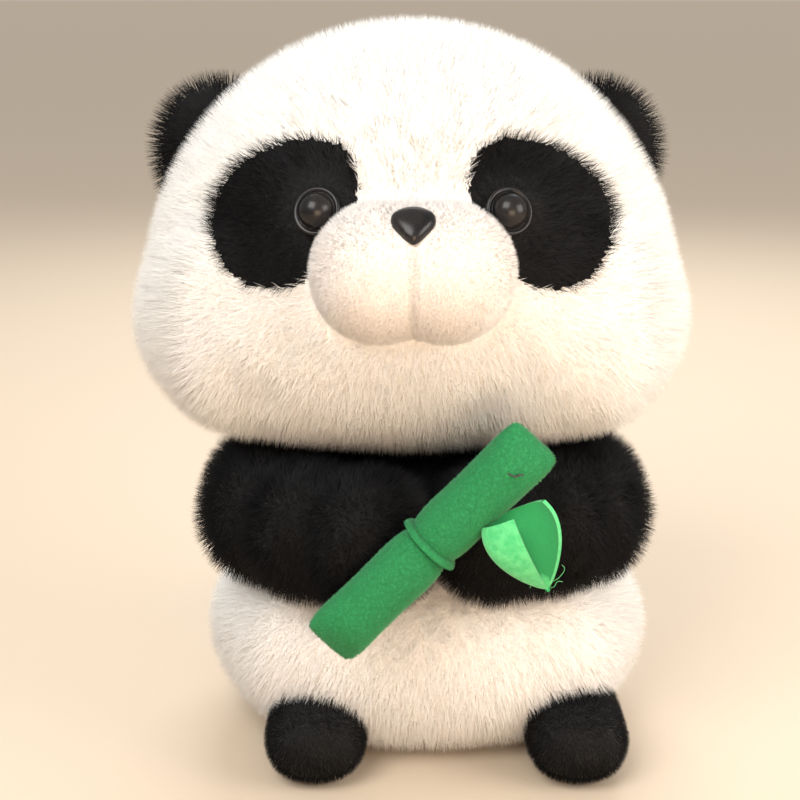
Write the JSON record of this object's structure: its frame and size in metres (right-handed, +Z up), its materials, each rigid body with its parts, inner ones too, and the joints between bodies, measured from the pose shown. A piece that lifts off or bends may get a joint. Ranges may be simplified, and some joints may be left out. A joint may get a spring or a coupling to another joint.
{
  "type": "plush panda",
  "caption": "Sitting stuffed panda with a broad head, long-pile plush, short muzzle, domed eyes and bent arms that hold a leaning felt bamboo stalk with a leaf.",
  "frame": {"origin": "middle of the flat base panel that the toy sits on", "axes": "+Z up through the head, -Y out of the face, +X to the toy's own left"},
  "size_m": [0.186, 0.1821, 0.248],
  "materials": {
    "white_plush": "long-pile plush, luminous white",
    "black_plush": "long-pile plush, black",
    "muzzle_nap": "short-nap white plush",
    "foot_nap": "short-nap black plush",
    "green_felt": "short-nap green felt",
    "leaf_felt": "light green felt with a cut edge",
    "eye_plastic": "polished black",
    "washer_plastic": "natural",
    "wadding": "loose polyester fibre",
    "white_thread": "sewing thread",
    "black_thread": "sewing thread"
  },
  "bodies": {
    "torso": {"belly_left": "white_plush", "belly_right": "white_plush", "back_left": "white_plush", "back_right": "white_plush", "chest_left": "black_plush", "chest_right": "black_plush", "base_panel": "white_plush", "body_fill": "wadding", "tail_cover": "white_plush", "tail_fill": "wadding", "foot_left_cover": "foot_nap", "foot_left_fill": "wadding", "foot_right_cover": "foot_nap", "foot_right_fill": "wadding"},
    "neck": {"neck_core": "wadding", "neck_thread": "white_thread"},
    "head": {"face_left": "white_plush", "face_right": "white_plush", "head_back_left": "white_plush", "head_back_right": "white_plush", "head_fill": "wadding", "eye_patch_left": "black_plush", "eye_patch_right": "black_plush", "muzzle_cover": "muzzle_nap", "muzzle_fill": "wadding", "mouth_thread": "white_thread", "nose": "eye_plastic", "nose_washer": "washer_plastic", "eye_left": "eye_plastic", "eye_right": "eye_plastic", "eye_washers": "washer_plastic"},
    "ear_left": {"ear_left_front": "black_plush", "ear_left_back": "black_plush"},
    "ear_right": {"ear_right_front": "black_plush", "ear_right_back": "black_plush"},
    "arm_left": {"arm_left_cover": "black_plush", "arm_left_fill": "wadding"},
    "arm_right": {"arm_right_cover": "black_plush", "arm_right_fill": "wadding"},
    "stalk": {"stalk_upper": "green_felt", "stalk_lower": "green_felt", "stalk_band": "green_felt", "paw_stitch": "black_thread"},
    "leaf": {"leaf": "leaf_felt"}
  },
  "joints": [
    {"name": "head_turn", "type": "hinge", "parent": "torso", "child": "neck", "pos_m": [-0.006, 0.004, 0.125], "axis": [0, 0, 1], "range_deg": [-30, 30], "stiffness_Nm_per_rad": 0.05},
    {"name": "head_nod", "type": "hinge", "parent": "neck", "child": "head", "pos_m": [-0.006, 0.004, 0.125], "axis": [1, 0, 0], "range_deg": [-6, 6], "stiffness_Nm_per_rad": 0.6},
    {"name": "ear_left_fold", "type": "hinge", "parent": "head", "child": "ear_left", "pos_m": [0.06653, 0.008, 0.21918], "axis": [0.6665, 0, -0.7455], "range_deg": [-25, 25], "stiffness_Nm_per_rad": 0.01},
    {"name": "ear_right_fold", "type": "hinge", "parent": "head", "child": "ear_right", "pos_m": [-0.07853, 0.008, 0.21918], "axis": [0.6665, 0, 0.7455], "range_deg": [-25, 25], "stiffness_Nm_per_rad": 0.01},
    {"name": "arm_left_open", "type": "hinge", "parent": "torso", "child": "arm_left", "pos_m": [0.0564, -0.004, 0.088], "axis": [0, 0, 1], "range_deg": [0, 45], "stiffness_Nm_per_rad": 0.03},
    {"name": "arm_right_open", "type": "hinge", "parent": "torso", "child": "arm_right", "pos_m": [-0.0564, -0.004, 0.088], "axis": [0, 0, -1], "range_deg": [0, 45], "stiffness_Nm_per_rad": 0.03},
    {"name": "stalk_swing", "type": "hinge", "parent": "arm_right", "child": "stalk", "pos_m": [-0.01509, -0.0789, 0.07951], "axis": [0, 1, 0], "range_deg": [-12, 12], "stiffness_Nm_per_rad": 0.02},
    {"name": "leaf_flex", "type": "hinge", "parent": "stalk", "child": "leaf", "pos_m": [0.02386, -0.0899, 0.10445], "axis": [0.9171, 0, 0.3987], "range_deg": [-15, 35], "stiffness_Nm_per_rad": 0.002}
  ]
}
